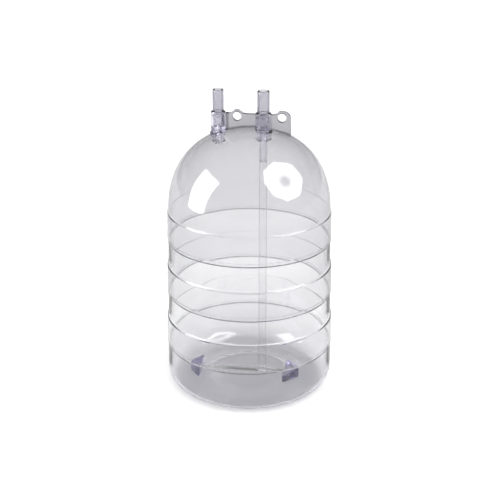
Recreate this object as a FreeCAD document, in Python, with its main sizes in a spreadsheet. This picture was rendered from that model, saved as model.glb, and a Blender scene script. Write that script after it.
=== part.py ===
import FreeCAD, Part
import os
import re
import Sketcher

# A large clear water jug: a domed vessel in four stepped shells, with two hose stems and a
# hanging rail on top, a dip tube inside, and two lugs with a cross bar on the floor.
# Millimetres, +Z up, origin at the centre of the foot ring on the table, rail along X.

SIZES = {
    # vessel, from the table up
    "base_height": 70.5,
    "ring_pitch": 86.0,
    "band_height": 49.5,
    "band_radius": 125.8,
    "draft": 0.023,
    "recess_depth": 1.6,
    "shoulder_run": 5.2,
    "wall": 3.0,
    "dome_step": 1.3,
    "dome_height": 122.8,
    "dome_fullness": 0.615,
    # floor of the base cup
    "heel_radius": 29.5,
    "floor_thickness": 3.0,
    "foot_width": 10.0,
    "push_up": 8.0,
    "plateau_radius": 52.0,
    # lap joints between the shells
    "spigot_height": 6.0,
    "spigot_taper": 0.82,
    "spigot_tip": 0.4,
    "lap_gap": 0.1,
    "seal_height": 1.2,
    "seal_setback": 1.8,
    "bond_gap": 0.1,
    # ports and their hose stems
    "left_port_x": -47.0,
    "right_port_x": 21.0,
    "left_stem_radius": 8.25,
    "right_stem_radius": 9.25,
    "port_rise": 26.5,
    "port_depth": 23.0,
    "port_wall": 2.9,
    "rim_chamfer": 1.0,
    "flare_width": 1.5,
    "flare_height": 3.0,
    "skirt_depth": 10.0,
    "neck_margin": 1.25,
    "neck_lip": 1.0,
    "stem_length": 33.0,
    "stem_wall": 2.2,
    "plug_step": 0.6,
    "plug_fit": 0.08,
    "plug_end_gap": 1.0,
    "seat_gap": 0.2,
    "ring_section": 0.8,
    "ring_depth": 7.0,
    "ring_fit": 0.05,
    # nuts and nipples under the dome
    "nut_height": 9.0,
    "nut_drop": 3.0,
    "nut_fit": 0.05,
    "nipple_radius": 5.25,
    "throat_radius": 3.4,
    "left_nipple": 4.0,
    "right_nipple": 34.0,
    # dip tube
    "tube_wall": 1.2,
    "tube_fit": 0.06,
    "tube_floor_gap": 1.5,
    # hanging rail
    "rail_thickness": 6.0,
    "rail_gap": 0.3,
    "left_eye_x": -21.0,
    "right_eye_x": 47.0,
    "eye_rise": 15.3,
    "eye_radius": 6.4,
    "ear_rim": 4.2,
    "strap_rise": 19.9,
    "ear_half_width": 13.5,
    "ear_corner": 10.8,
    "rail_left_reach": 17.5,
    "rail_depth": 30.0,
    "rib_width": 4.0,
    "rib_reach": 2.0,
    # lugs and cross bar on the floor
    "left_lug_inset": 11.7,
    "left_lug_reach": 19.0,
    "left_lug_width": 50.0,
    "right_lug_inset": 33.2,
    "right_lug_reach": 23.5,
    "right_lug_width": 64.0,
    "lug_height": 18.5,
    "lug_shoulder": 3.0,
    "lug_tip_width": 6.0,
    "bar_width": 8.0,
    "bar_height": 4.0,
    "bar_floor_gap": 0.3,
    "bar_inset": 6.0,
    "bar_fit": 0.1,
    "guide_rim": 3.4,
    "guide_fit": 0.2,
}

document = FreeCAD.newDocument("water_jug")
sheet = document.addObject("Spreadsheet::Sheet", "sizes")
for row, (name, number) in enumerate(SIZES.items(), start=1):
    sheet.set(f"A{row}", name)
    sheet.set(f"B{row}", str(number))
    sheet.setAlias(f"B{row}", name)
document.recompute()

# Round stretches are cubic curves: this handle length draws a quarter circle.
QUARTER_HANDLE = 0.5523
# How far a cutting solid runs past what it cuts.
OVERRUN = 1


def measure(formula):
    """The value of a formula of sheet names, in millimetres."""
    return float(sheet.evalExpression(str(formula)))


def bound(formula):
    """The same formula as another object of the document writes it."""
    def with_sheet(word):
        return f"sizes.{word.group(0)}" if word.group(0) in SIZES else word.group(0)
    return re.sub(r"[a-z][a-z_]*", with_sheet, str(formula))


def bind(item, **formulas):
    """Bind properties of an object; a place is given by its x, y and z."""
    for name, formula in formulas.items():
        path = f".Placement.Base.{name}" if name in ("x", "y", "z") else name
        item.setExpression(path, bound(formula))


# Outlines and solids ------------------------------------------------------------------------

def line(x, z):
    """A straight edge to (x, z)."""
    return (), (x, z)


def curve(first_handle, second_handle, end):
    """A cubic curve to end, with its two handles."""
    return (first_handle, second_handle), end


def vector(point):
    return FreeCAD.Vector(measure(point[0]), measure(point[1]), 0)


def new_body(label):
    body = document.addObject("PartDesign::Body", label)
    body.Label = label
    return body


def add_sketch(body, name, start, edges, circles=(), plane="XZ_Plane"):
    """A closed sketch on a plane of the body. Every corner and handle is bound to its formulas.

    edges run from start; the last one ends there. circles are (x, z, radius)."""
    sketch = body.newObject("Sketcher::SketchObject", name)
    face = [item for item in body.Origin.OriginFeatures if item.Role == plane][0]
    sketch.AttachmentSupport = [(face, "")]
    sketch.MapMode = "FlatFace"

    def pin(geometry, position, point):
        for kind, formula in zip(("DistanceX", "DistanceY"), point):
            place = Sketcher.Constraint(kind, -1, 1, geometry, position, measure(formula))
            number = sketch.addConstraint(place)
            sketch.setExpression(f"Constraints[{number}]", bound(formula))

    corners = [start] + [end for _, end in edges]
    drawn = []
    for corner, (handles, end) in zip(corners, edges):
        if handles:
            poles = [vector(point) for point in (corner, *handles, end)]
            shape = Part.BSplineCurve(poles, None, None, False, 3, None, False)
            number = sketch.addGeometry(shape)
            sketch.exposeInternalGeometry(number)
            for offset, handle in enumerate(handles, start=2):
                pin(number + offset, 3, handle)
        else:
            number = sketch.addGeometry(Part.LineSegment(vector(corner), vector(end)))
        drawn.append(number)
    for number, following, corner in zip(drawn, drawn[1:] + drawn[:1], corners):
        sketch.addConstraint(Sketcher.Constraint("Coincident", number, 2, following, 1))
        pin(number, 1, corner)
    for x, z, radius in circles:
        round_edge = Part.Circle(vector((x, z)), FreeCAD.Vector(0, 0, 1), measure(radius))
        number = sketch.addGeometry(round_edge)
        pin(number, 3, (x, z))
        size = sketch.addConstraint(Sketcher.Constraint("Radius", number, measure(radius)))
        sketch.setExpression(f"Constraints[{size}]", bound(radius))
    return sketch


def revolved(label, start, edges):
    """A body turned about its own Z axis from an outline of (radius, height)."""
    body = new_body(label)
    turn = body.newObject("PartDesign::Revolution", f"{label}_turn")
    turn.Profile = add_sketch(body, f"{label}_outline", start, edges)
    turn.ReferenceAxis = (turn.Profile[0], ["V_Axis"])
    turn.Angle = 360
    return body


def extruded(label, start, edges, width, circles=()):
    """A body of an upright outline of (x, z), padded evenly both ways along Y."""
    body = new_body(label)
    pad = body.newObject("PartDesign::Pad", f"{label}_pad")
    pad.Profile = add_sketch(body, f"{label}_outline", start, edges, circles)
    pad.SideType = "Symmetric"
    bind(pad, Length=width)
    return body


def slab(label, start, edges, height):
    """A body of a level outline of (x, y), padded up from the table."""
    body = new_body(label)
    pad = body.newObject("PartDesign::Pad", f"{label}_pad")
    pad.Profile = add_sketch(body, f"{label}_outline", start, edges, plane="XY_Plane")
    bind(pad, Length=height)
    return body


def cylinder(label, radius, low, high):
    """A solid cylinder on the Z axis between two heights."""
    item = document.addObject("Part::Cylinder", label)
    bind(item, Radius=radius, Height=f"({high}) - ({low})", z=low)
    return item


def box(label, left, right, width, low, high):
    """A block between two X and two Z values, centred on Y."""
    item = document.addObject("Part::Box", label)
    bind(item, Length=f"({right}) - ({left})", Width=width, Height=f"({high}) - ({low})",
         x=left, y=f"-({width}) / 2", z=low)
    return item


def combine(kind, label, base, tool):
    """A boolean of two solids: Cut, Common or Fuse."""
    item = document.addObject(f"Part::{kind}", label)
    item.Base = base
    item.Tool = tool
    return item


# Vessel -------------------------------------------------------------------------------------

SEAMS = ["base_height", "base_height + ring_pitch", "base_height + 2 * ring_pitch"]
SPRING_LINE = f"({SEAMS[2]} + band_height)"
DOME_TOP = f"({SPRING_LINE} + dome_height)"
DOME_RADIUS = "(band_radius - dome_step)"
CROWN_RADIUS = f"(1.5 * (dome_fullness * {DOME_RADIUS})^2 / ((1 - dome_fullness) * dome_height))"


def band(height, inset="0"):
    """Outer radius of the raised bands at a height, less an inset."""
    return f"band_radius + draft * ({SPRING_LINE} - ({height})) - ({inset})"


def step_between(low, high):
    """A soft S from one corner to another, upright at both ends."""
    middle = f"(({low[1]}) + ({high[1]})) / 2"
    return curve((low[0], middle), (high[0], middle), high)


def dome_curve(inset):
    """From the spring line up to the axis, the dome's surface less an inset."""
    handle = f"dome_fullness * ({DOME_RADIUS} - ({inset}))"
    lift = f"{SPRING_LINE} + dome_fullness * (dome_height - ({inset}))"
    top = f"{DOME_TOP} - ({inset})"
    return curve((f"{DOME_RADIUS} - ({inset})", lift), (handle, top), ("0", top))


def dome_curve_down(inset):
    """The same surface from the axis down to the spring line."""
    (lower, upper), _ = dome_curve(inset)
    return curve(upper, lower, (f"{DOME_RADIUS} - ({inset})", SPRING_LINE))


def dome_shell():
    low = f"{SEAMS[2]} + seal_height"
    shoulder = f"{SPRING_LINE} - shoulder_run"
    start = (band(low), low)
    return revolved("dome_shell", start, [
        line(band(shoulder), shoulder),
        step_between((band(shoulder), shoulder), (DOME_RADIUS, SPRING_LINE)),
        dome_curve("0"),
        line("0", f"{DOME_TOP} - wall"),
        dome_curve_down("wall"),
        step_between((f"{DOME_RADIUS} - wall", SPRING_LINE), (band(shoulder, "wall"), shoulder)),
        line(band(low, "wall"), low),
        line(*start),
    ])


def spigot(seam, foot):
    """The top of a shell: a shoulder for the seal, and a spigot inside the next shell.

    The inside tapers over a share of the upright wall between foot and seam."""
    top = f"{seam} + spigot_height"
    root = f"{seam} - spigot_taper * ({seam} - ({foot}))"
    return [
        line(band(seam, "recess_depth"), seam),
        line(band(seam, "wall + lap_gap"), seam),
        line(band(top, "wall + lap_gap"), top),
        line(band(top, "wall + lap_gap + spigot_tip"), top),
        line(band(root, "wall + recess_depth"), root),
    ]


def barrel(label, seam, next_seam):
    low = f"{seam} + seal_height"
    ring = f"{seam} + band_height"
    shoulder = f"{ring} - shoulder_run"
    recess = (band(ring, "recess_depth"), ring)
    inner_recess = (band(ring, "wall + recess_depth"), ring)
    inner_band = (band(shoulder, "wall"), shoulder)
    start = (band(low), low)
    return revolved(label, start, [
        line(band(shoulder), shoulder),
        step_between((band(shoulder), shoulder), recess),
        *spigot(next_seam, ring),
        line(*inner_recess),
        step_between(inner_recess, inner_band),
        line(band(low, "wall"), low),
        line(*start),
    ])


HEEL_WALL = band("heel_radius", "recess_depth")
FOOT_OUTER = f"({HEEL_WALL} - heel_radius)"
FOOT_INNER = f"({FOOT_OUTER} - foot_width)"


def heel_curve(inset):
    """From the foot ring out and up to the wall, the heel's surface less an inset."""
    reach = f"{QUARTER_HANDLE} * (heel_radius - ({inset}))"
    wall = f"{HEEL_WALL} - ({inset})"
    return curve((f"{FOOT_OUTER} + {reach}", inset),
                 (wall, f"heel_radius - {reach}"), (wall, "heel_radius"))


def floor_rise(level):
    """From the foot ring in and up to the raised middle of the floor."""
    middle = f"({FOOT_INNER} + plateau_radius) / 2"
    high = f"push_up + ({level})"
    return curve((middle, level), (middle, high), ("plateau_radius", high))


def base_cup():
    (heel_low, heel_high), _ = heel_curve("floor_thickness")
    (rise_low, rise_high), plateau = floor_rise("floor_thickness")
    (under_low, under_high), under = floor_rise("0")
    start = ("0", "push_up")
    return revolved("base_cup", start, [
        line(*under),
        curve(under_high, under_low, (FOOT_INNER, "0")),
        line(FOOT_OUTER, "0"),
        heel_curve("0"),
        *spigot(SEAMS[0], "heel_radius"),
        line(f"{HEEL_WALL} - wall", "heel_radius"),
        curve(heel_high, heel_low, (FOOT_OUTER, "floor_thickness")),
        line(FOOT_INNER, "floor_thickness"),
        curve(rise_low, rise_high, plateau),
        line("0", plateau[1]),
        line(*start),
    ])


def seam_seal(label, seam):
    """A flat ring on the shoulder, its edge just under the raised band above."""
    inner = band(seam, "wall")
    outer = band(seam, "seal_setback")
    top = f"{seam} + seal_height"
    return revolved(label, (inner, seam), [
        line(outer, seam),
        line(outer, top),
        line(inner, top),
        line(inner, seam),
    ])


# Forms that the seated pieces are cut to ------------------------------------------------------

def crown_form():
    """The dome's outside, one bond gap larger."""
    return revolved("crown_form", ("0", SPRING_LINE), [
        line(f"{DOME_RADIUS} + bond_gap", SPRING_LINE),
        dome_curve("-bond_gap"),
        line("0", SPRING_LINE),
    ])


def crown_cavity():
    """The dome's inside, one bond gap smaller."""
    inset = "wall + bond_gap"
    return revolved("crown_cavity", ("0", SPRING_LINE), [
        line(f"{DOME_RADIUS} - ({inset})", SPRING_LINE),
        dome_curve(inset),
        line("0", SPRING_LINE),
    ])


def base_cavity():
    """The inside of the base cup, one bond gap smaller."""
    level = "floor_thickness + bond_gap"
    (rise_low, rise_high), plateau = floor_rise(level)
    wall = f"{HEEL_WALL} - ({level})"
    return revolved("base_cavity", ("0", plateau[1]), [
        line(*plateau),
        curve(rise_high, rise_low, (FOOT_INNER, level)),
        line(FOOT_OUTER, level),
        heel_curve(level),
        line(wall, SEAMS[0]),
        line("0", SEAMS[0]),
        line("0", plateau[1]),
    ])


# Ports --------------------------------------------------------------------------------------

class Port:
    """The radii and heights that one side's socket, nut, stem and seal share."""

    def __init__(self, side):
        self.side = side
        self.x = f"{side}_port_x"
        self.stem = f"{side}_stem_radius"
        self.plug = f"({self.stem} - plug_step)"
        self.bore = f"({self.plug} + plug_fit)"
        self.outer = f"({self.stem} + port_wall)"
        self.flare = f"({self.outer} + flare_width)"
        self.neck = f"({self.stem} - neck_margin)"
        self.top = f"({DOME_TOP} + port_rise)"
        self.floor = f"({self.top} - port_depth)"
        self.seat = f"({DOME_TOP} - {self.x}^2 / (2 * {CROWN_RADIUS}))"
        self.nut_bottom = f"({self.seat} - wall - nut_height - nut_drop)"
        self.nipple_top = f"({self.nut_bottom} - neck_lip)"
        self.nipple_bottom = f"({self.nut_bottom} - {side}_nipple)"
        self.ring_height = f"({self.top} - ring_depth)"
        self.ring_radius = f"({self.plug} + ring_fit + ring_section)"


def socket(port, crown):
    """A flared tube bonded on the dome, with a neck through it and a nipple below."""
    label = f"{port.side}_socket"
    low = f"{port.seat} - skirt_depth"
    hollow = 1 - QUARTER_HANDLE
    tube = revolved(f"{label}_tube", ("0", low), [
        line(port.flare, low),
        line(port.flare, port.seat),
        curve((f"{port.outer} + {hollow} * flare_width", port.seat),
              (port.outer, f"{port.seat} + {hollow} * flare_height"),
              (port.outer, f"{port.seat} + flare_height")),
        line(port.outer, f"{port.top} - rim_chamfer"),
        line(f"{port.outer} - rim_chamfer", port.top),
        line("0", port.top),
        line("0", low),
    ])
    bind(tube, x=port.x)
    seated = combine("Cut", f"{label}_seated", tube, crown)

    neck = revolved(f"{label}_neck", ("0", port.nipple_bottom), [
        line("nipple_radius", port.nipple_bottom),
        line("nipple_radius", port.nipple_top),
        line(port.neck, port.nipple_top),
        line(port.neck, port.floor),
        line("0", port.floor),
        line("0", port.nipple_bottom),
    ])
    bind(neck, x=port.x)
    whole = combine("Fuse", f"{label}_whole", seated, neck)

    groove = f"{port.ring_radius} + ring_section + ring_fit"
    groove_low = f"{port.ring_height} - ring_section - ring_fit"
    groove_high = f"{port.ring_height} + ring_section + ring_fit"
    below = f"{port.nipple_bottom} - {OVERRUN}"
    above = f"{port.top} + {OVERRUN}"
    bore = revolved(f"{label}_bore", ("0", below), [
        line("throat_radius", below),
        line("throat_radius", port.floor),
        line(port.bore, port.floor),
        line(port.bore, groove_low),
        line(groove, groove_low),
        line(groove, groove_high),
        line(port.bore, groove_high),
        line(port.bore, above),
        line("0", above),
        line("0", below),
    ])
    bind(bore, x=port.x)
    return combine("Cut", label, whole, bore)


def nut(port, cavity):
    """A hexagonal nut on the neck, its top cut to the inside of the dome."""
    label = f"{port.side}_nut"
    hexagon = document.addObject("Part::Prism", f"{label}_blank")
    hexagon.Polygon = 6
    bind(hexagon, Circumradius=port.outer, Height=f"{port.floor} - {port.nut_bottom}",
         x=port.x, z=port.nut_bottom)
    hole = cylinder(f"{label}_hole", f"{port.neck} + nut_fit",
                    f"{port.nut_bottom} - {OVERRUN}", port.top)
    bind(hole, x=port.x)
    ring = combine("Cut", f"{label}_ring", hexagon, hole)
    return combine("Common", label, ring, cavity)


def stem(port):
    """A hose stem: a plug in the socket, and a fuller tube that rests on the socket's mouth."""
    low = f"{port.floor} + plug_end_gap"
    mouth = f"{port.top} + seat_gap"
    top = f"{port.top} + stem_length"
    inner = f"{port.plug} - stem_wall"
    body = revolved(f"{port.side}_stem", (inner, low), [
        line(port.plug, low),
        line(port.plug, mouth),
        line(port.stem, mouth),
        line(port.stem, f"{top} - rim_chamfer"),
        line(f"{port.stem} - rim_chamfer", top),
        line(inner, top),
        line(inner, low),
    ])
    bind(body, x=port.x)
    return body


def stem_seal(port):
    """A round-section ring in the socket's groove."""
    ring = document.addObject("Part::Torus", f"{port.side}_stem_seal")
    bind(ring, Radius1=port.ring_radius, Radius2="ring_section", x=port.x, z=port.ring_height)
    return ring


def dome_cap(ports):
    """The dome's shell with a hole for each neck."""
    pierced = dome_shell()
    for port in ports:
        hole = cylinder(f"{port.side}_neck_hole", f"{port.neck} + lap_gap", SPRING_LINE, port.top)
        bind(hole, x=port.x)
        pierced = combine("Cut", f"{port.side}_pierced", pierced, hole)
    return pierced


# Rail, dip tube, lugs and bar -----------------------------------------------------------------

def socket_form(port):
    """The outside of a socket, one rail gap larger."""
    flare = cylinder(f"{port.side}_flare_form", f"{port.flare} + rail_gap", SPRING_LINE,
                     f"{port.seat} + flare_height")
    tube = cylinder(f"{port.side}_tube_form", f"{port.outer} + rail_gap", SPRING_LINE,
                    f"{port.top} + stem_length")
    bind(flare, x=port.x)
    bind(tube, x=port.x)
    return combine("Fuse", f"{port.side}_socket_form", flare, tube)


def hanging_rail(crown, ports):
    """A plate behind the sockets with two eyes and an end rib, cut to the dome and the sockets."""
    strap = f"{DOME_TOP} + strap_rise"
    eye = f"{DOME_TOP} + eye_rise"
    peak = f"{eye} + eye_radius + ear_rim"
    low = f"{DOME_TOP} - rail_depth"
    left_end = "left_eye_x - rail_left_reach"
    right_end = "right_eye_x + ear_half_width"
    corner = f"({peak}) - ear_corner"

    def rise(x_from, x_to, z_from, z_to):
        middle = f"(({x_from}) + ({x_to})) / 2"
        return curve((middle, z_from), (middle, z_to), (x_to, z_to))

    left_shoulder = "left_eye_x - ear_half_width"
    plate = extruded("rail_plate", (left_end, low), [
        line(left_end, strap),
        line(left_shoulder, strap),
        rise(left_shoulder, "left_eye_x", strap, peak),
        rise("left_eye_x", "left_eye_x + ear_half_width", peak, strap),
        line("right_eye_x - ear_half_width", strap),
        rise("right_eye_x - ear_half_width", "right_eye_x", strap, peak),
        curve((f"right_eye_x + {QUARTER_HANDLE} * ear_half_width", peak),
              (right_end, f"{corner} + {QUARTER_HANDLE} * ear_corner"),
              (right_end, corner)),
        line(right_end, low),
        line(left_end, low),
    ], "rail_thickness", [(x, eye, "eye_radius") for x in ("left_eye_x", "right_eye_x")])
    front = "right_stem_radius + port_wall + rail_gap"
    bind(plate, y=f"{front} + rail_thickness / 2")
    rib = box("rail_rib", left_end, f"{left_end} + rib_width", "rail_thickness + 2 * rib_reach",
              low, strap)
    bind(rib, y=f"{front} - rib_reach")
    rail = combine("Cut", "rail_on_dome", combine("Fuse", "rail_blank", plate, rib), crown)
    for port in ports:
        rail = combine("Cut", f"rail_by_{port.side}_socket", rail, socket_form(port))
    return rail


FLOOR_TOP = "(floor_thickness + push_up)"
TUBE_INNER = "(nipple_radius + tube_fit)"
TUBE_OUTER = f"({TUBE_INNER} + tube_wall)"


def dip_tube(port):
    """A tube pushed over the right nipple, its lower end cut on a slant above the floor."""
    low = f"{FLOOR_TOP} + tube_floor_gap"
    high = f"{port.nipple_top} - seat_gap"
    body = revolved("dip_tube_whole", (TUBE_INNER, low), [
        line(TUBE_OUTER, low),
        line(TUBE_OUTER, high),
        line(TUBE_INNER, high),
        line(TUBE_INNER, low),
    ])
    reach = f"{TUBE_OUTER} + {OVERRUN}"
    below = f"{low} - {OVERRUN}"
    slant = extruded("dip_tube_slant", (f"-({reach})", below), [
        line(reach, below),
        line(reach, f"{low} + 2 * {TUBE_OUTER}"),
        line(f"-({reach})", below),
    ], f"2 * ({reach})")
    tube = combine("Cut", "dip_tube", body, slant)
    bind(body, x=port.x)
    bind(slant, x=port.x)
    return tube


BAR_LOW = f"({FLOOR_TOP} + bar_floor_gap)"
LEFT_FACE = f"(left_lug_inset - {FOOT_INNER})"
RIGHT_FACE = f"({FOOT_INNER} - right_lug_inset)"


def foot_bar(port):
    """A flat bar between the lugs, with an eye that steadies the dip tube."""
    high = f"{BAR_LOW} + bar_height"
    strip = box("bar_strip", f"{LEFT_FACE} - bar_inset", f"{RIGHT_FACE} + bar_inset",
                "bar_width", BAR_LOW, high)
    disc = cylinder("bar_disc", f"{TUBE_OUTER} + guide_fit + guide_rim", BAR_LOW, high)
    hole = cylinder("bar_hole", f"{TUBE_OUTER} + guide_fit",
                    f"{BAR_LOW} - {OVERRUN}", f"{high} + {OVERRUN}")
    bind(disc, x=port.x)
    bind(hole, x=port.x)
    return combine("Cut", "foot_bar", combine("Fuse", "bar_blank", strip, disc), hole)


def lug(side, face, outward, cavity):
    """A flat arrowhead on the floor that points outward, with a slot for the bar's end."""
    half = f"{side}_lug_width / 2"
    shoulder = f"{face} + ({outward}) * lug_shoulder"
    tip = f"{face} + ({outward}) * {side}_lug_reach"
    head = slab(f"{side}_lug_head", (face, f"-{half}"), [
        line(shoulder, f"-{half}"),
        line(tip, "-lug_tip_width / 2"),
        line(tip, "lug_tip_width / 2"),
        line(shoulder, half),
        line(face, half),
        line(face, f"-{half}"),
    ], "lug_height")
    ends = [f"{face} - ({outward}) * {OVERRUN}", f"{face} + ({outward}) * (bar_inset + bar_fit)"]
    left, right = ends if outward > 0 else reversed(ends)
    slot = box(f"{side}_lug_slot", left, right, "bar_width + 2 * bar_fit",
               f"{BAR_LOW} - bar_fit", f"{BAR_LOW} + bar_height + bar_fit")
    slotted = combine("Cut", f"{side}_lug_slotted", head, slot)
    return combine("Common", f"{side}_lug", slotted, cavity)


# Assembly -----------------------------------------------------------------------------------

def build():
    left, right = Port("left"), Port("right")
    crown, cavity, base_inside = crown_form(), crown_cavity(), base_cavity()
    nodes = {
        "dome_cap": dome_cap((left, right)),
        "upper_barrel": barrel("upper_barrel", SEAMS[1], SEAMS[2]),
        "lower_barrel": barrel("lower_barrel", SEAMS[0], SEAMS[1]),
        "base_cup": base_cup(),
        "hanging_rail": hanging_rail(crown, (left, right)),
        "dip_tube": dip_tube(right),
        "foot_bar": foot_bar(right),
        "left_lug": lug("left", LEFT_FACE, -1, base_inside),
        "right_lug": lug("right", RIGHT_FACE, 1, base_inside),
    }
    for label, seam in zip(("lower_seal", "middle_seal", "upper_seal"), SEAMS):
        nodes[label] = seam_seal(label, seam)
    for port in (left, right):
        nodes[f"{port.side}_socket"] = socket(port, crown)
        nodes[f"{port.side}_nut"] = nut(port, cavity)
        nodes[f"{port.side}_stem"] = stem(port)
        nodes[f"{port.side}_stem_seal"] = stem_seal(port)
    document.recompute()
    return nodes


def check(nodes):
    for item in document.Objects:
        faults = {"Invalid", "Error"} & set(item.State)
        if faults:
            raise RuntimeError(f"{item.Label}: {faults}")
    for name, item in nodes.items():
        if item.Shape.isNull() or not item.Shape.isValid():
            raise RuntimeError(f"{name}: no valid shape")


def write(nodes):
    os.makedirs("parts", exist_ok=True)
    for name, item in nodes.items():
        item.Label = name
        item.Shape.exportStep(f"parts/{name}.step")
        bounds = item.Shape.BoundBox
        print(f"{name}: {len(item.Shape.Solids)} solid, {item.Shape.Volume / 1000:.2f} cm3, "
              f"z {bounds.ZMin:.1f} to {bounds.ZMax:.1f}")


sub_parts = build()
check(sub_parts)
write(sub_parts)
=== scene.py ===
import bmesh
import bpy
import math
from mathutils import Matrix, Vector


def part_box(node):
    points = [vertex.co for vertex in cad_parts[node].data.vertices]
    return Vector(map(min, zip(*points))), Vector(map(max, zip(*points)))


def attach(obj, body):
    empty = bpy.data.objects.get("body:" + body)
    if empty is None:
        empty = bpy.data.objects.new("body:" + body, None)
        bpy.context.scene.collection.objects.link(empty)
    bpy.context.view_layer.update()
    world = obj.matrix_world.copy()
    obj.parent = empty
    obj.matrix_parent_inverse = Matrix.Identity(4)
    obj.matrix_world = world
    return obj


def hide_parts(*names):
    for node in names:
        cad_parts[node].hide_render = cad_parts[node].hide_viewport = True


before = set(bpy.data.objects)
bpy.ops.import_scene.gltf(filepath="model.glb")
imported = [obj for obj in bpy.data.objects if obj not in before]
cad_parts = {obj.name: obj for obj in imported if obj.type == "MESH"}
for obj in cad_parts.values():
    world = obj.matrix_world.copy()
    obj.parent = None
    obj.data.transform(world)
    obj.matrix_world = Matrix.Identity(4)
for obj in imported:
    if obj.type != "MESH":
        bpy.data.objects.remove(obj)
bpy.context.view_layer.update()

# A large clear jug: four tinted shells, two hose stems and a hanging rail on the dome, a dip
# tube inside, lugs and a bar on the floor. Lengths in the dictionaries are millimetres.

mm = 0.001
print("frame loaded:", len(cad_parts), "nodes")


def nodeBox(name):
    # lowest and highest corner of a CAD node, in millimetres
    low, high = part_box(name)
    return low / mm, high / mm


# camera
view = {"azimuth": 9.0, "pitch": 22.214, "distance": 1.7684, "aim": 0.2201, "lens": 81.8, "shift": 0.00122}


def makeCamera():
    turn, tip = math.radians(view["azimuth"]), math.radians(view["pitch"])
    back = Vector((math.sin(turn) * math.cos(tip), -math.cos(turn) * math.cos(tip), math.sin(tip)))
    lens = bpy.data.cameras.new("studioCamera")
    lens.sensor_width = 36
    lens.lens = view["lens"]
    lens.shift_x = view["shift"]
    camera = bpy.data.objects.new("studioCamera", lens)
    camera.location = Vector((0, 0, view["aim"])) + back * view["distance"]
    camera.rotation_euler = (-back).to_track_quat("-Z", "Y").to_euler()
    bpy.context.scene.collection.objects.link(camera)
    bpy.context.scene.camera = camera


makeCamera()
bpy.context.scene.view_settings.view_transform = "Standard"
print("camera set")


# node writing
class Wire:
    # one output socket that takes part in Python sums
    def __init__(self, board, socket):
        self.board = board
        self.socket = socket

    def sum(self, operation, *values):
        return self.board.node("ShaderNodeMath", {"operation": operation}, dict(enumerate(values)))

    def output(self, name):
        return Wire(self.board, self.socket.node.outputs[name])

    def __add__(self, other):
        return self.sum("ADD", self, other)

    def __radd__(self, other):
        return self.sum("ADD", other, self)

    def __mul__(self, other):
        return self.sum("MULTIPLY", self, other)

    def __rmul__(self, other):
        return self.sum("MULTIPLY", other, self)

    def __truediv__(self, other):
        return self.sum("DIVIDE", self, other)

    def __rtruediv__(self, other):
        return self.sum("DIVIDE", other, self)


class Board:
    # a node tree and the one method that adds nodes to it
    def __init__(self, tree):
        self.tree = tree

    def node(self, kind, settings=None, inputs=None, out=0):
        made = self.tree.nodes.new(kind)
        for name, value in (settings or {}).items():
            setattr(made, name, value)
        for name, value in (inputs or {}).items():
            if isinstance(value, Wire):
                self.tree.links.new(value.socket, made.inputs[name])
            else:
                made.inputs[name].default_value = value
        return Wire(self, made.outputs[out])

    def mix(self, factor, first, second):
        return self.node("ShaderNodeMix", {"data_type": "RGBA"}, {0: factor, 6: first, 7: second}, out=2)


def newMaterial(name):
    material = bpy.data.materials.new(name)
    material.use_nodes = True
    material.node_tree.nodes.clear()
    return material, Board(material.node_tree)


# turned pieces
meshSet = {
    "seamWeld": 2e-6, "weld": 1e-6, "sliver": 1e-7, "crease": 34.0, "shortest": 1e-6,
    "cornerShare": 0.4, "leadShare": 0.1, "leadLength": 0.3,
}
creaseAngle = math.radians(meshSet["crease"])
quarterHandle = 0.5523  # draws a quarter circle with a cubic curve


def turningTree():
    # spins the modified outline, points in order, about an upright axis
    tree = bpy.data.node_groups.new("turnOutline", "GeometryNodeTree")
    sockets = {}
    for name, kind in (("Outline", "NodeSocketGeometry"), ("Segments", "NodeSocketInt"),
                       ("Axis X", "NodeSocketFloat"), ("Finish", "NodeSocketMaterial")):
        sockets[name] = tree.interface.new_socket(name, in_out="INPUT", socket_type=kind).identifier
    tree.interface.new_socket("Turned", in_out="OUTPUT", socket_type="NodeSocketGeometry")
    board = Board(tree)
    given = board.node("NodeGroupInput")
    outline = given.output("Outline")
    segments = given.output("Segments")
    count = board.node("GeometryNodeAttributeDomainSize", inputs={"Geometry": outline}, out="Point Count")
    sheet = board.node("GeometryNodeMeshGrid", inputs={"Vertices X": segments + 1, "Vertices Y": count})
    index = board.node("GeometryNodeInputIndex")
    along = index.sum("MODULO", index, count)
    around = index.sum("FLOOR", index / count) * math.tau / segments
    places = board.node("GeometryNodeInputPosition")
    picked = board.node("GeometryNodeSampleIndex", {"data_type": "FLOAT_VECTOR"},
                        {"Geometry": outline, "Value": places, "Index": along})
    flat = board.node("ShaderNodeSeparateXYZ", inputs={0: picked})
    reach = flat.output("X")
    spun = board.node("ShaderNodeCombineXYZ", inputs={
        "X": reach * around.sum("COSINE", around) + given.output("Axis X"),
        "Y": reach * around.sum("SINE", around),
        "Z": flat.output("Z")})
    moved = board.node("GeometryNodeSetPosition", inputs={"Geometry": sheet, "Position": spun})
    joined = board.node("GeometryNodeMergeByDistance", inputs={
        "Geometry": moved, "Distance": meshSet["seamWeld"]})
    real = board.node("GeometryNodeRealizeInstances", inputs={"Geometry": joined})
    finish = given.output("Finish")
    done = board.node("GeometryNodeSetMaterial", inputs={"Geometry": real, "Material": finish})
    ending = tree.nodes.new("NodeGroupOutput")
    tree.links.new(done.socket, ending.inputs[0])
    return tree, sockets


turnTree, turnSocket = turningTree()


def curve(start, handleA, handleB, end, count=24):
    # a cubic curve as points, without its first one
    made = []
    for step in range(1, count + 1):
        t = step / count
        u = 1 - t
        made.append(tuple(u**3 * a + 3 * u * u * t * b + 3 * u * t * t * c + t**3 * d
                          for a, b, c, d in zip(start, handleA, handleB, end)))
    return made


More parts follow.
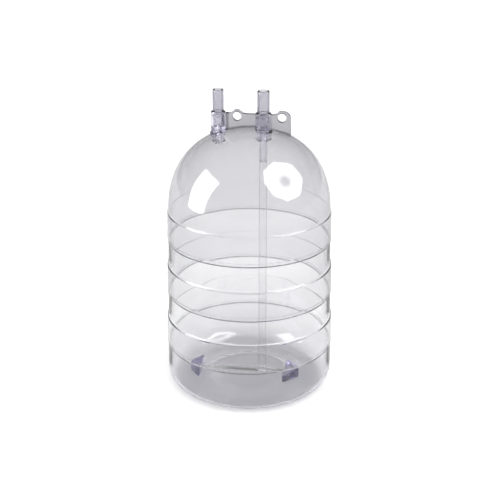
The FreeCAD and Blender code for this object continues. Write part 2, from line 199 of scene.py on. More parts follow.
def sCurve(start, end, count=10):
    # upright at both ends
    middle = (start[1] + end[1]) / 2
    return curve(start, (start[0], middle), (end[0], middle), end, count)


def mixPoint(a, b, share):
    return tuple(p + (q - p) * share for p, q in zip(a, b))


def eased(points, ease, steps=4, longest=6.0, closed=False):
    # rounds each clear corner of a line of points, then divides its long stretches
    made = []
    count = len(points)
    for i, corner in enumerate(points):
        before = points[i - 1] if i or closed else None
        after = points[(i + 1) % count] if i < count - 1 or closed else None
        if before is None or after is None:
            made.append(corner)
            continue
        inward = Vector(corner) - Vector(before)
        outward = Vector(after) - Vector(corner)
        short = min(inward.length, outward.length) < meshSet["shortest"]
        if short or inward.angle(outward) < creaseAngle:
            made.append(corner)
            continue
        most, mostLead = meshSet["cornerShare"], meshSet["leadShare"]
        lead = meshSet["leadLength"] * ease
        first = mixPoint(corner, before, min(ease / inward.length, most))
        last = mixPoint(corner, after, min(ease / outward.length, most))
        made.append(mixPoint(first, before, min(lead / inward.length, mostLead)))
        for step in range(steps + 1):
            t = step / steps
            made.append(mixPoint(mixPoint(first, corner, t), mixPoint(corner, last, t), t))
        made.append(mixPoint(last, after, min(lead / outward.length, mostLead)))
    if closed:
        made.append(made[0])
    whole = made[:1]
    for point in made[1:]:
        gap = math.dist(whole[-1], point)
        pieces = max(1, math.ceil(gap / longest))
        start = whole[-1]
        whole += [mixPoint(start, point, (k + 1) / pieces) for k in range(pieces)]
    return whole


def plainMesh(item):
    # the evaluated object as a mesh of its own, with all modifiers taken off
    graph = bpy.context.evaluated_depsgraph_get()
    mesh = bpy.data.meshes.new_from_object(item.evaluated_get(graph), depsgraph=graph)
    item.modifiers.clear()
    return mesh


def tidied(mesh):
    # doubles merged, stray edges gone, normals outward, smooth between creases
    work = bmesh.new()
    work.from_mesh(mesh)
    bmesh.ops.remove_doubles(work, verts=work.verts, dist=meshSet["weld"])
    stray = [edge for edge in work.edges if not edge.link_faces]
    bmesh.ops.delete(work, geom=stray, context="EDGES")
    bmesh.ops.dissolve_degenerate(work, edges=work.edges, dist=meshSet["sliver"])
    bmesh.ops.recalc_face_normals(work, faces=work.faces)
    work.to_mesh(mesh)
    work.free()
    mesh.polygons.foreach_set("use_smooth", [True] * len(mesh.polygons))
    mesh.set_sharp_from_angle(angle=creaseAngle)
    return mesh


def newObject(name, mesh):
    item = bpy.data.objects.new(name, mesh)
    bpy.context.scene.collection.objects.link(item)
    return item


def turned(name, outline, finish, segments=192, axisX=0.0):
    # outline: points of (radius, height) in millimetres, the last on the first where closed
    wireMesh = bpy.data.meshes.new(name)
    wireMesh.from_pydata([(x * mm, 0, z * mm) for x, z in outline],
                         [(i, i + 1) for i in range(len(outline) - 1)], [])
    item = newObject(name, wireMesh)
    spin = item.modifiers.new("turn", "NODES")
    spin.node_group = turnTree
    spin[turnSocket["Segments"]] = segments
    spin[turnSocket["Axis X"]] = axisX * mm
    spin[turnSocket["Finish"]] = finish
    item.data = tidied(plainMesh(item))
    return item


def carved(item, *cuts):
    # cuts are (operation, tool); the tools are used up
    for number, (operation, tool) in enumerate(cuts):
        cut = item.modifiers.new(f"cut{number}", "BOOLEAN")
        cut.operation = operation
        cut.solver = "EXACT"
        cut.object = tool
    item.data = tidied(plainMesh(item))
    for _, tool in cuts:
        bpy.data.objects.remove(tool)
    return item


def plate(name, loops, thickness, ease, finish, upright, centre):
    # a flat shape with holes and rounded edges; loops are lists of points in its own plane
    flat = bpy.data.curves.new(name, "CURVE")
    flat.dimensions = "2D"
    flat.fill_mode = "BOTH"
    flat.extrude = (thickness / 2 - ease) * mm
    flat.bevel_depth = ease * mm
    flat.bevel_resolution = 3
    flat.offset = -ease * mm
    for loop in loops:
        spline = flat.splines.new("POLY")
        spline.points.add(len(loop) - 1)
        spline.use_cyclic_u = True
        for point, (x, y) in zip(spline.points, loop):
            point.co = (x * mm, y * mm, 0, 1)
    item = newObject(name, flat)
    mesh = plainMesh(item)
    bpy.data.objects.remove(item)
    mesh.transform(Matrix.Rotation(math.pi / 2 if upright else 0, 4, "X"))
    mesh.transform(Matrix.Translation(Vector(centre) * mm))
    mesh.materials.clear()
    mesh.materials.append(finish)
    return newObject(name, tidied(mesh))


def circle(x, y, radius, count=72, turn=0.0):
    # turn is a share of one step
    angles = [math.tau * (i + turn) / count for i in range(count)]
    return [(x + radius * math.cos(angle), y + radius * math.sin(angle)) for angle in angles]


# finishes
def clearPlastic(name, look):
    # tinted see-through plastic, slightly wavy from the mould, with faint handling marks
    material, board = newMaterial(name)
    coords = board.node("ShaderNodeTexCoord", out="Object")
    stretched = board.node("ShaderNodeMapping", inputs={"Vector": coords, "Scale": look["flow"]})
    waves = board.node("ShaderNodeTexNoise", {"noise_dimensions": "3D"},
                       {"Vector": stretched, "Scale": look["waveScale"], "Detail": 2.0})
    marks = board.node("ShaderNodeTexNoise", {"noise_dimensions": "3D"},
                       {"Vector": coords, "Scale": look["markScale"], "Detail": 3.0})
    rub = board.node("ShaderNodeMapRange", {"clamp": True},
                     {"Value": marks, "From Min": look["markLow"], "From Max": look["markHigh"],
                      "To Min": look["polish"], "To Max": look["rubbed"]})
    bump = board.node("ShaderNodeBump", inputs={
        "Strength": look["waveStrength"], "Distance": look["waveDepth"] * mm, "Height": waves})
    body = board.node("ShaderNodeBsdfPrincipled", inputs={
        "Base Color": look["surface"], "Roughness": rub, "IOR": look["ior"],
        "Transmission Weight": 1.0, "Normal": bump})
    lampPass = board.node("ShaderNodeBsdfTransparent", inputs={"Color": look["shade"]})
    shadowRay = board.node("ShaderNodeLightPath", out="Is Shadow Ray")
    shown = board.node("ShaderNodeMixShader", inputs={0: shadowRay, 1: body, 2: lampPass})
    tint = board.node("ShaderNodeVolumeAbsorption", inputs={
        "Color": look["tint"], "Density": look["density"]})
    finishOutput(board, shown, tint)
    return material


def finishOutput(board, surface, volume=None):
    ending = board.tree.nodes.new("ShaderNodeOutputMaterial")
    board.tree.links.new(surface.socket, ending.inputs["Surface"])
    if volume:
        board.tree.links.new(volume.socket, ending.inputs["Volume"])


shellLook = {
    "surface": (1, 1, 1, 1), "ior": 1.5, "polish": 0.0, "rubbed": 0.05, "shade": (0.97, 0.97, 0.975, 1),
    "tint": (0.50, 0.495, 0.54, 1), "density": 110.0,
    "flow": (1.0, 1.0, 2.2), "waveScale": 14.0, "waveStrength": 0.15, "waveDepth": 1.0,
    "markScale": 260.0, "markLow": 0.45, "markHigh": 0.8,
}
# The dome's copy of the shell plastic has a denser tint. This is painted shade: it renders the dome
# greyer, as the dimmer light above it makes it look.
domePaintedShadeLook = dict(shellLook, density=132.0)
# The lower barrel's copy of the shell plastic has a much weaker tint. This is painted light: it lifts the
# lower bands, where they show the shadowed floor behind the jug.
lowerPaintedLightLook = dict(shellLook, density=30.0)
baseLook = dict(shellLook, tint=(0.50, 0.49, 0.57, 1), density=72.0, shade=(0.76, 0.76, 0.78, 1))
socketLook = dict(shellLook, tint=(0.42, 0.375, 0.64, 1), density=44.0, waveScale=90.0,
                  shade=(0.7, 0.69, 0.75, 1))
railLook = dict(socketLook, tint=(0.46, 0.455, 0.50, 1), density=265.0, waveScale=60.0)
lugLook = dict(socketLook, tint=(0.40, 0.35, 0.66, 1), density=70.0)
nutLook = dict(shellLook, ior=1.1, density=14.0, waveScale=60.0)
stemLook = dict(shellLook, tint=(0.46, 0.45, 0.53, 1), density=245.0, waveScale=60.0)
tubeLook = dict(shellLook, ior=1.03, density=60.0)
barLook = dict(shellLook, ior=1.34, density=30.0)
domePaintedShadeTint = clearPlastic("clearDomePlasticPaintedShade", domePaintedShadeLook)
shellTint = clearPlastic("clearShellPlastic", shellLook)
lowerPaintedLightTint = clearPlastic("clearLowerPlasticPaintedLight", lowerPaintedLightLook)
baseTint = clearPlastic("clearBasePlastic", baseLook)
nutTint = clearPlastic("clearNutPlastic", nutLook)
socketTint = clearPlastic("violetSocketPlastic", socketLook)
railTint = clearPlastic("greyRailPlastic", railLook)
lugTint = clearPlastic("violetLugPlastic", lugLook)
stemTint = clearPlastic("greyStemPlastic", stemLook)
tubeTint = clearPlastic("clearTubePlastic", tubeLook)
barTint = clearPlastic("clearBarPlastic", barLook)


rubberLook = {
    "dark": (0.86, 0.86, 0.88, 1), "light": (0.95, 0.95, 0.96, 1), "grainScale": 900.0, "bump": 0.2,
    "bumpDepth": 0.1, "polish": 0.05, "rubbed": 0.1, "ior": 1.41,
}


def sealRubber(look):
    # clear silicone with a fine grain
    material, board = newMaterial("sealRubber")
    coords = board.node("ShaderNodeTexCoord", out="Object")
    grain = board.node("ShaderNodeTexNoise", inputs={
        "Vector": coords, "Scale": look["grainScale"], "Detail": 3.0})
    colour = board.mix(grain, look["dark"], look["light"])
    bump = board.node("ShaderNodeBump", inputs={
        "Strength": look["bump"], "Distance": look["bumpDepth"] * mm, "Height": grain})
    body = board.node("ShaderNodeBsdfPrincipled", inputs={
        "Base Color": colour, "Roughness": look["polish"] + grain * look["rubbed"], "IOR": look["ior"],
        "Transmission Weight": 1.0, "Normal": bump})
    finishOutput(board, body)
    return material


rubber = sealRubber(rubberLook)
print("finishes made")


def placed(item, body, slot, *nodes):
    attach(item, body)
    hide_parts(*nodes)
    return item


# vessel
vessel = {
    "wall": 3.0, "recess": 1.6, "draft": 0.023, "shoulderRun": 5.2, "bandHeight": 49.5, "domeStep": 1.3,
    "domeFullness": 0.615, "heelRadius": 29.5, "footWidth": 10.0, "floorThickness": 3.0, "pushUp": 8.0,
    "plateauRadius": 52.0, "spigotHeight": 6.0, "spigotTaper": 0.82, "spigotTip": 0.4, "lapGap": 0.1,
    "bondGap": 0.1, "segments": 224, "ease": 0.5,
}
wall = vessel["wall"]
recess = vessel["recess"]
seamNames = ("lower_seal", "middle_seal", "upper_seal")
seams = [nodeBox(name)[0].z for name in seamNames]
sealHeight = nodeBox("upper_seal")[1].z - seams[2]
capLow, capHigh = nodeBox("dome_cap")
domeTop = capHigh.z
springLine = seams[2] + vessel["bandHeight"]
domeHeight = domeTop - springLine


def band(height, inset=0.0):
    return capHigh.x + vessel["draft"] * (capLow.z - height) - inset


domeRadius = band(springLine) - vessel["domeStep"]


def domeCurve(inset, count=72):
    # from the spring line up to the axis
    full = vessel["domeFullness"]
    radius = domeRadius - inset
    top = domeTop - inset
    lift = springLine + full * (domeHeight - inset)
    return curve((radius, springLine), (radius, lift), (full * radius, top), (0.0, top), count)


def domeShell():
    low = seams[2] + sealHeight
    shoulder = springLine - vessel["shoulderRun"]
    outer = [(band(low), low), (band(shoulder), shoulder)]
    outer += sCurve(outer[-1], (domeRadius, springLine)) + domeCurve(0)
    inner = domeCurve(wall)[::-1] + [(domeRadius - wall, springLine)]
    inner += sCurve(inner[-1], (band(shoulder, wall), shoulder)) + [(band(low, wall), low)]
    return eased(outer + inner, vessel["ease"], closed=True)


def spigot(seam, foot):
    # the inside tapers over a share of the upright wall between foot and seam
    top = seam + vessel["spigotHeight"]
    root = seam - vessel["spigotTaper"] * (seam - foot)
    lap = wall + vessel["lapGap"]
    return [(band(seam, recess), seam), (band(seam, lap), seam), (band(top, lap), top),
            (band(top, lap + vessel["spigotTip"]), top), (band(root, wall + recess), root)]


def barrelShell(seam, nextSeam):
    low = seam + sealHeight
    ring = seam + vessel["bandHeight"]
    shoulder = ring - vessel["shoulderRun"]
    points = [(band(low), low), (band(shoulder), shoulder)]
    points += sCurve(points[-1], (band(ring, recess), ring)) + spigot(nextSeam, ring)
    points.append((band(ring, wall + recess), ring))
    points += sCurve(points[-1], (band(shoulder, wall), shoulder)) + [(band(low, wall), low)]
    return eased(points, vessel["ease"], closed=True)


heelWall = band(vessel["heelRadius"], recess)
footOuter = heelWall - vessel["heelRadius"]
footInner = footOuter - vessel["footWidth"]


def heelCurve(inset, count=28):
    reach = quarterHandle * (vessel["heelRadius"] - inset)
    side = heelWall - inset
    return curve((footOuter, inset), (footOuter + reach, inset), (side, vessel["heelRadius"] - reach),
                 (side, vessel["heelRadius"]), count)


def floorRise(level, count=20):
    middle = (footInner + vessel["plateauRadius"]) / 2
    high = vessel["pushUp"] + level
    end = (vessel["plateauRadius"], high)
    return curve((footInner, level), (middle, level), (middle, high), end, count)


def baseShell():
    level = vessel["floorThickness"]
    under = [(footInner, 0.0)] + floorRise(0.0)
    points = [(0.0, vessel["pushUp"])] + under[::-1] + [(footOuter, 0.0)] + heelCurve(0.0)
    points += spigot(seams[0], vessel["heelRadius"])
    points += [(heelWall - level, vessel["heelRadius"])] + heelCurve(level)[-2::-1]
    points += [(footOuter, level), (footInner, level)] + floorRise(level)
    points.append((0.0, vessel["pushUp"] + level))
    return eased(points, vessel["ease"])


def crownForm(grow):
    # the dome's surface moved out by grow, as a solid to cut with
    return turned("crownForm", [(0.0, springLine), (domeRadius + grow, springLine)] + domeCurve(-grow),
                  shellTint, vessel["segments"])


def baseForm():
    # the inside of the cup as a solid, a bond gap away from it
    level = vessel["floorThickness"] + vessel["bondGap"]
    points = [(0.0, level + vessel["pushUp"])] + floorRise(level)[::-1]
    points += [(footInner, level), (footOuter, level)] + heelCurve(level)
    points += [(heelWall - level, seams[0]), (0.0, seams[0])]
    return turned("baseForm", points, shellTint, vessel["segments"])


dome = turned("domeShell", domeShell(), domePaintedShadeTint, vessel["segments"])
upperBarrel = turned("upperBarrelShell", barrelShell(seams[1], seams[2]), shellTint, vessel["segments"])
lowerBarrel = turned("lowerBarrelShell", barrelShell(seams[0], seams[1]), lowerPaintedLightTint, vessel["segments"])
cup = turned("baseShell", baseShell(), baseTint, vessel["segments"])
placed(upperBarrel, "jug", "clear_tint", "upper_barrel")
placed(lowerBarrel, "jug", "clear_tint", "lower_barrel")
placed(cup, "jug", "clear_tint", "base_cup")

sealSet = {"setback": 1.8, "slack": 0.02, "ease": 0.25}
for nodeName, seam in zip(seamNames, seams):
    inner = band(seam, wall)
    outer = band(seam, sealSet["setback"])
    low, high = seam + sealSet["slack"], seam + sealHeight - sealSet["slack"]
    ring = eased([(inner, low), (outer, low), (outer, high), (inner, high)], sealSet["ease"], closed=True)
    seal = turned(nodeName.split("_")[0] + "SeamSeal", ring, rubber, vessel["segments"])
    placed(seal, "jug", "rubber", nodeName)
print("vessel made")


# ports
portSet = {
    "wall": 2.9, "depth": 23.0, "flareWidth": 1.5, "flareHeight": 3.0, "flareSteps": 12,
    "skirtDepth": 10.0, "neckMargin": 1.25, "neckLip": 1.0, "plugStep": 0.6, "plugFit": 0.08,
    "plugEndGap": 1.0, "seatGap": 0.2, "stemWall": 2.2, "rimSteps": 8,
    "ringSection": 0.8, "ringDepth": 7.0, "ringFit": 0.05, "nutHeight": 9.0, "nutDrop": 3.0,
    "nutFit": 0.05, "nutSides": 6,
    "socketRim": 2.2, "stemRim": 1.5, "nippleRadius": 5.25, "throatRadius": 3.4, "overrun": 1.0,
    "segments": 96, "ringSegments": 20, "longest": 3.0, "ease": 0.35, "boreEase": 0.15, "nutEase": 0.6,
}


class Port:
    # the radii and heights that one side's socket, nut, stem and ring share
    def __init__(self, side):
        low, high = nodeBox(f"{side}_stem")
        socketLow, socketHigh = nodeBox(f"{side}_socket")
        self.side = side
        self.x = (low.x + high.x) / 2
        self.stem = (high.x - low.x) / 2
        self.stemTop = high.z
        self.plug = self.stem - portSet["plugStep"]
        self.bore = self.plug + portSet["plugFit"]
        self.outer = self.stem + portSet["wall"]
        self.flare = self.outer + portSet["flareWidth"]
        self.neck = self.stem - portSet["neckMargin"]
        self.top = socketHigh.z
        self.floor = self.top - portSet["depth"]
        full = vessel["domeFullness"]
        # the dome's radius of curvature at its top, from its last handle
        crownRadius = 1.5 * (full * domeRadius) ** 2 / ((1 - full) * domeHeight)
        self.seat = domeTop - self.x**2 / (2 * crownRadius)
        self.nutBottom = self.seat - wall - portSet["nutHeight"] - portSet["nutDrop"]
        self.nippleTop = self.nutBottom - portSet["neckLip"]
        self.nippleBottom = socketLow.z
        self.ringHeight = self.top - portSet["ringDepth"]
        self.ringRadius = self.plug + portSet["ringFit"] + portSet["ringSection"]

    def turned(self, name, outline, finish):
        return turned(self.side + name, outline, finish, portSet["segments"], self.x)


def rim(radius, top, size):
    # a quarter round from the side of a tube to its end
    side = (radius, top - size)
    hold = quarterHandle * size
    end = (radius - size, top)
    return [side] + curve(side, (radius, side[1] + hold), (end[0] + hold, top), end, portSet["rimSteps"])


def makeSocket(port):
    ease = portSet["ease"]
    low = port.seat - portSet["skirtDepth"]
    hollow = 1 - quarterHandle
    foot = (port.flare, port.seat)
    waist = (port.outer, port.seat + portSet["flareHeight"])
    outside = [(0.0, low), (port.flare, low), foot]
    outside += curve(foot, (port.outer + hollow * portSet["flareWidth"], port.seat),
                     (port.outer, port.seat + hollow * portSet["flareHeight"]), waist,
                     portSet["flareSteps"])
    outside += rim(port.outer, port.top, portSet["socketRim"]) + [(0.0, port.top)]
    longest = portSet["longest"]
    body = port.turned("Socket", eased(outside, ease, longest=longest), socketTint)

    nipple = portSet["nippleRadius"]
    neck = port.turned("Neck", eased([
        (0.0, port.nippleBottom), (nipple, port.nippleBottom), (nipple, port.nippleTop),
        (port.neck, port.nippleTop), (port.neck, port.floor), (0.0, port.floor)],
        ease, longest=longest), socketTint)

    reach = portSet["ringSection"] + portSet["ringFit"]
    groove = port.ringRadius + reach
    throat = portSet["throatRadius"]
    below = port.nippleBottom - portSet["overrun"]
    above = port.top + portSet["overrun"]
    bore = port.turned("Bore", eased([
        (0.0, below), (throat, below), (throat, port.floor), (port.bore, port.floor),
        (port.bore, port.ringHeight - reach), (groove, port.ringHeight - reach),
        (groove, port.ringHeight + reach), (port.bore, port.ringHeight + reach),
        (port.bore, above), (0.0, above)], portSet["boreEase"], longest=longest), socketTint)
    crown = crownForm(vessel["bondGap"])
    carved(body, ("DIFFERENCE", crown), ("UNION", neck), ("DIFFERENCE", bore))
    return placed(body, "jug", "deep_tint", f"{port.side}_socket")


def makeStem(port):
    low = port.floor + portSet["plugEndGap"]
    mouth = port.top + portSet["seatGap"]
    inner = port.plug - portSet["stemWall"]
    points = [(inner, low), (port.plug, low), (port.plug, mouth), (port.stem, mouth),
              *rim(port.stem, port.stemTop, portSet["stemRim"]), (inner, port.stemTop)]
    outline = eased(points, portSet["ease"], longest=portSet["longest"], closed=True)
    item = port.turned("Stem", outline, stemTint)
    return placed(item, f"{port.side}_stem", "light_tint", f"{port.side}_stem")


def makeRing(port):
    points = circle(port.ringRadius, port.ringHeight, portSet["ringSection"], portSet["ringSegments"])
    item = port.turned("StemRing", points + points[:1], rubber)
    return placed(item, "jug", "rubber", f"{port.side}_stem_seal")


def makeNut(port):
    low = port.nutBottom
    high = port.floor
    corners = circle(port.x, 0.0, port.outer, portSet["nutSides"])
    hole = circle(port.x, 0.0, port.neck + portSet["nutFit"])
    item = plate(f"{port.side}Nut", [corners, hole], high - low, portSet["nutEase"], nutTint, False,
                 (0, 0, (low + high) / 2))
    carved(item, ("INTERSECT", crownForm(-wall - vessel["bondGap"])))
    return placed(item, "jug", "deep_tint", f"{port.side}_nut")


ports = [Port("left"), Port("right")]
neckHoles = []
for port in ports:
    makeSocket(port)
    makeStem(port)
    makeRing(port)
    makeNut(port)
    holeRadius = port.neck + vessel["lapGap"]
    hole = port.turned("NeckHole", [(0.0, springLine), (holeRadius, springLine), (holeRadius, port.top),
                                    (0.0, port.top)], domePaintedShadeTint)
    neckHoles.append(("DIFFERENCE", hole))
carved(dome, *neckHoles)
placed(dome, "jug", "clear_tint", "dome_cap")
print("ports made")


# hanging rail
railSet = {
    "gap": 0.3, "thickness": 6.0, "depth": 30.0, "strapRise": 19.9, "eyeRise": 15.3, "eyeRadius": 6.4,
    "leftEye": -21.0, "rightEye": 47.0, "earHalfWidth": 13.5, "earCorner": 10.8, "earSteps": 16,
    "cornerEase": 1.2, "ease": 1.5, "ribWidth": 4.0, "ribReach": 2.0, "ribEase": 0.6,
}


def makeRail():
    low, high = nodeBox("hanging_rail")
    eye = domeTop + railSet["eyeRise"]
    strap = domeTop + railSet["strapRise"]
    peak = high.z
    half = railSet["earHalfWidth"]
    left, right = railSet["leftEye"], railSet["rightEye"]
    bottom = domeTop - railSet["depth"]

    def rise(start, end):
        middle = (start[0] + end[0]) / 2
        return curve(start, (middle, start[1]), (middle, end[1]), end, railSet["earSteps"])

    outline = [(low.x, bottom), (low.x, strap), (left - half, strap)]
    outline += rise((left - half, strap), (left, peak)) + rise((left, peak), (left + half, strap))
    outline += [(right - half, strap)] + rise((right - half, strap), (right, peak))
    corner = peak - railSet["earCorner"]
    outline += curve((right, peak), (right + quarterHandle * half, peak),
                     (high.x, corner + quarterHandle * railSet["earCorner"]), (high.x, corner),
                     railSet["earSteps"])
    outline += [(high.x, bottom)]
    eyes = [circle(x, eye, railSet["eyeRadius"]) for x in (left, right)]
    outline = eased(outline, railSet["cornerEase"], closed=True)[:-1]
    middle = ports[1].outer + railSet["gap"] + railSet["thickness"] / 2
    item = plate("hangingRail", [outline] + eyes, railSet["thickness"], railSet["ease"], railTint, True,
                 (0, middle, 0))
    ribEnd = low.x + railSet["ribWidth"]
    rib = plate("railRib", [[(low.x, bottom), (ribEnd, bottom), (ribEnd, strap), (low.x, strap)]],
                railSet["thickness"] + 2 * railSet["ribReach"], railSet["ribEase"], railTint, True,
                (0, middle, 0))
    cuts = [("UNION", rib), ("DIFFERENCE", crownForm(vessel["bondGap"]))]
    for port in ports:
        flare = port.flare + railSet["gap"]
        tube = port.outer + railSet["gap"]
        waist = port.seat + portSet["flareHeight"]
        cuts.append(("DIFFERENCE", port.turned("RailClearance", [
            (0.0, springLine), (flare, springLine), (flare, waist), (tube, waist), (tube, port.stemTop),
            (0.0, port.stemTop)], railTint)))
    carved(item, *cuts)
    return placed(item, "jug", "deep_tint", "hanging_rail")


makeRail()
print("rail made")


# dip tube, bar and lugs
tubeSet = {"wall": 1.2, "ease": 0.2, "overrun": 1.0, "guideFit": 0.2, "guideRim": 3.4}
barSet = {"width": 8.0, "ease": 0.5, "inset": 6.0, "fit": 0.1, "arcSteps": 24}
lugSet = {"tipWidth": 6.0, "corner": 3.0, "ease": 1.2, "round": 3.0, "slotOverrun": 1.0, "slotEase": 0.01}


def makeTube():
    port = ports[1]
    low, high = nodeBox("dip_tube")
    outer = (high.x - low.x) / 2
    inner = outer - tubeSet["wall"]
    item = port.turned("DipTube", eased([(outer, low.z), (outer, high.z), (inner, high.z), (inner, low.z)],
                                        tubeSet["ease"], closed=True), tubeTint)
    reach = outer + tubeSet["overrun"]
    below = low.z - tubeSet["overrun"]
    wedge = [(-reach, below), (reach, below), (reach, low.z + 2 * outer)]
    mesh = bpy.data.meshes.new("tubeSlant")
    points = [((port.x + x) * mm, y * mm, z * mm) for y in (-reach, reach) for x, z in wedge]
    mesh.from_pydata(points, [], [(0, 1, 2), (5, 4, 3), (0, 3, 4, 1), (1, 4, 5, 2), (2, 5, 3, 0)])
    slant = newObject("tubeSlant", tidied(mesh))
    carved(item, ("DIFFERENCE", slant))
    return placed(item, "jug", "light_tint", "dip_tube")


def makeBar():
    low, high = nodeBox("foot_bar")
    half = barSet["width"] / 2
    port = ports[1]
    tubeLow, tubeHigh = nodeBox("dip_tube")
    tubeOuter = (tubeHigh.x - tubeLow.x) / 2
    hole = tubeOuter + tubeSet["guideFit"]
    disc = hole + tubeSet["guideRim"]
    edge = math.asin(half / disc)
    steps = barSet["arcSteps"]
    angles = [math.pi - edge - (math.pi - 2 * edge) * i / steps for i in range(steps + 1)]
    arc = [(port.x + disc * math.cos(angle), disc * math.sin(angle)) for angle in angles]
    outline = [(low.x, half)] + arc + [(high.x, half), (high.x, -half)] + [(x, -y) for x, y in arc[::-1]]
    outline += [(low.x, -half)]
    eye = circle(port.x, 0, hole)
    item = plate("footBar", [outline, eye], high.z - low.z, barSet["ease"], barTint, False,
                 (0, 0, (low.z + high.z) / 2))
    return placed(item, "jug", "light_tint", "foot_bar")


def makeLug(side, outward):
    # a flat arrowhead on the floor that points outward, with a slot for the bar's end
    low, high = nodeBox(f"{side}_lug")
    barLow, barHigh = nodeBox("foot_bar")
    face, tip = (low.x, high.x) if outward > 0 else (high.x, low.x)
    shoulder = face + outward * lugSet["corner"]
    half = lugSet["tipWidth"] / 2
    points = eased([(face, low.y), (shoulder, low.y), (tip, -half), (tip, half), (shoulder, high.y),
                    (face, high.y)], lugSet["round"], closed=True)[:-1]
    item = plate(f"{side}Lug", [points], high.z, lugSet["ease"], lugTint, False, (0, 0, high.z / 2))
    fit = barSet["fit"]
    slotEnd = face + outward * (barSet["inset"] + fit)
    start = face - outward * lugSet["slotOverrun"]
    slotWidth = barSet["width"] + 2 * fit
    near, far = -slotWidth / 2, slotWidth / 2
    slotLoop = [(start, near), (slotEnd, near), (slotEnd, far), (start, far)]
    slot = plate("lugSlot", [slotLoop], barHigh.z - barLow.z + 2 * fit, lugSet["slotEase"], lugTint, False,
                 (0, 0, (barLow.z + barHigh.z) / 2))
    carved(item, ("DIFFERENCE", slot), ("INTERSECT", baseForm()))
    return placed(item, "jug", "deep_tint", f"{side}_lug")


makeTube()
makeBar()
makeLug("left", -1)
makeLug("right", 1)
print("tube, bar and lugs made")


# studio
studio = {
    "floorSize": 14.0, "floorDrop": 0.2, "floorColour": (0.9, 0.9, 0.9, 1),
    "cameraGlow": 0.4, "mirrorGlow": 0.12,
    "skyLow": 0.6, "skyHigh": 0.2, "skyFade": (0.14, 0.3),
    "sunStrength": 2.7, "sunAngle": 70.0, "sunTilt": (20.0, 12.0),
    "panelAim": 0.35, "flashEdge": (0.05, 0.24), "bounces": 24,
}


def makeFloor():
    half = studio["floorSize"] / 2
    mesh = bpy.data.meshes.new("studioFloor")
    corners = [(-half, -half, 0), (half, -half, 0), (half, half, 0), (-half, half, 0)]
    mesh.from_pydata(corners, [], [(0, 1, 2, 3)])
    mesh.transform(Matrix.Translation((0, 0, -studio["floorDrop"] * mm)))
    # glows a little for the camera and less in the plastic, so that it stays near white
    material, board = newMaterial("paleFloor")
    ray = board.node("ShaderNodeLightPath")
    mirrored = ray.output("Is Glossy Ray") + ray.output("Is Transmission Ray")
    seen = ray.output("Is Camera Ray") * studio["cameraGlow"] + mirrored * studio["mirrorGlow"]
    matt = board.node("ShaderNodeBsdfDiffuse", inputs={"Color": studio["floorColour"]})
    glow = board.node("ShaderNodeEmission", inputs={"Color": (1, 1, 1, 1), "Strength": seen})
    finishOutput(board, board.node("ShaderNodeAddShader", inputs={0: matt, 1: glow}))
    mesh.materials.append(material)
    newObject("studioFloor", mesh)


def makeSky():
    world = bpy.data.worlds.new("studioSky")
    bpy.context.scene.world = world
    world.use_nodes = True
    world.node_tree.nodes.clear()
    board = Board(world.node_tree)
    direction = board.node("ShaderNodeTexCoord", out="Generated")
    height = board.node("ShaderNodeSeparateXYZ", inputs={0: direction}, out="Z")
    fadeStart, fadeEnd = studio["skyFade"]
    level = board.node("ShaderNodeMapRange", {"clamp": True, "interpolation_type": "SMOOTHSTEP"}, {
        "Value": height, "From Min": fadeStart, "From Max": fadeEnd,
        "To Min": studio["skyLow"], "To Max": studio["skyHigh"]})
    sky = board.node("ShaderNodeBackground", inputs={"Color": (1, 1, 1, 1), "Strength": level})
    plain = board.node("ShaderNodeBackground", inputs={"Color": (1, 1, 1, 1), "Strength": 1.0})
    camera = board.node("ShaderNodeLightPath", out="Is Camera Ray")
    shown = board.node("ShaderNodeMixShader", inputs={0: camera, 1: sky, 2: plain})
    ending = world.node_tree.nodes.new("ShaderNodeOutputWorld")
    world.node_tree.links.new(shown.socket, ending.inputs["Surface"])


panels = {
    "windowPanel": {"centre": (-0.896, -0.362, 0.609), "flash": (0, 0, 0), "middle": 7.0, "glow": 7.0,
                    "corners": [(0.252, 0.484), (-0.409, 0.466), (-0.273, -0.41), (0.232, -0.401)]},
    "octagonPanel": {"centre": (0.765, -0.191, 0.966), "flash": (0.79, -0.25, 0.93),
                     "middle": 0.2, "glow": 7.0,
                     "corners": circle(0.05, 0.0, 0.56, 8, 0.5)},
}


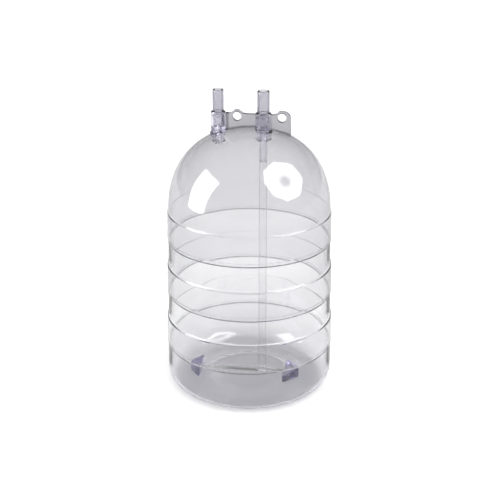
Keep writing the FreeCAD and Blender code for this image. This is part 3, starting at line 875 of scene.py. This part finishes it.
def makePanel(name, panel):
    centre = Vector(panel["centre"])
    facing = (Vector((0, 0, studio["panelAim"])) - centre).normalized()
    across = Vector((0, 0, 1)).cross(facing).normalized()
    up = facing.cross(across)
    mesh = bpy.data.meshes.new(name)
    corners = [centre + across * u + up * v for u, v in panel["corners"]]
    mesh.from_pydata([tuple(c) for c in corners], [], [tuple(range(len(corners)))])
    material, board = newMaterial(name)
    place = board.node("ShaderNodeTexCoord", out="Object")
    off = board.node("ShaderNodeVectorMath", {"operation": "DISTANCE"}, {0: place, 1: panel["flash"]},
                     out="Value")
    flashStart, flashEnd = studio["flashEdge"]
    level = board.node("ShaderNodeMapRange", {"clamp": True, "interpolation_type": "SMOOTHSTEP"}, {
        "Value": off, "From Min": flashStart, "From Max": flashEnd,
        "To Min": panel["middle"], "To Max": panel["glow"]})
    glow = board.node("ShaderNodeEmission", inputs={"Color": (1, 1, 1, 1), "Strength": level})
    clear = board.node("ShaderNodeBsdfTransparent")
    bounced = board.node("ShaderNodeLightPath", out="Glossy Depth")
    mirrored = bounced.sum("MINIMUM", bounced, 1.0)  # only a mirrored panel is seen
    finishOutput(board, board.node("ShaderNodeMixShader", inputs={0: mirrored, 1: clear, 2: glow}))
    mesh.materials.append(material)
    item = newObject(name, mesh)
    item.visible_camera = False
    item.visible_diffuse = False


def makeSun():
    # soft light that reaches all of the floor evenly and isn't mirrored in the plastic
    lamp = bpy.data.lights.new("softSun", "SUN")
    lamp.energy = studio["sunStrength"]
    lamp.angle = math.radians(studio["sunAngle"])
    item = bpy.data.objects.new("softSun", lamp)
    tiltX, tiltY = studio["sunTilt"]
    item.rotation_euler = (math.radians(tiltX), math.radians(tiltY), 0)
    item.visible_glossy = False
    item.visible_transmission = False
    bpy.context.scene.collection.objects.link(item)


makeFloor()
makeSky()
makeSun()
for panelName, panel in panels.items():
    makePanel(panelName, panel)
bpy.context.scene.cycles.max_bounces = studio["bounces"]
bpy.context.scene.cycles.transmission_bounces = studio["bounces"]
print("studio made")
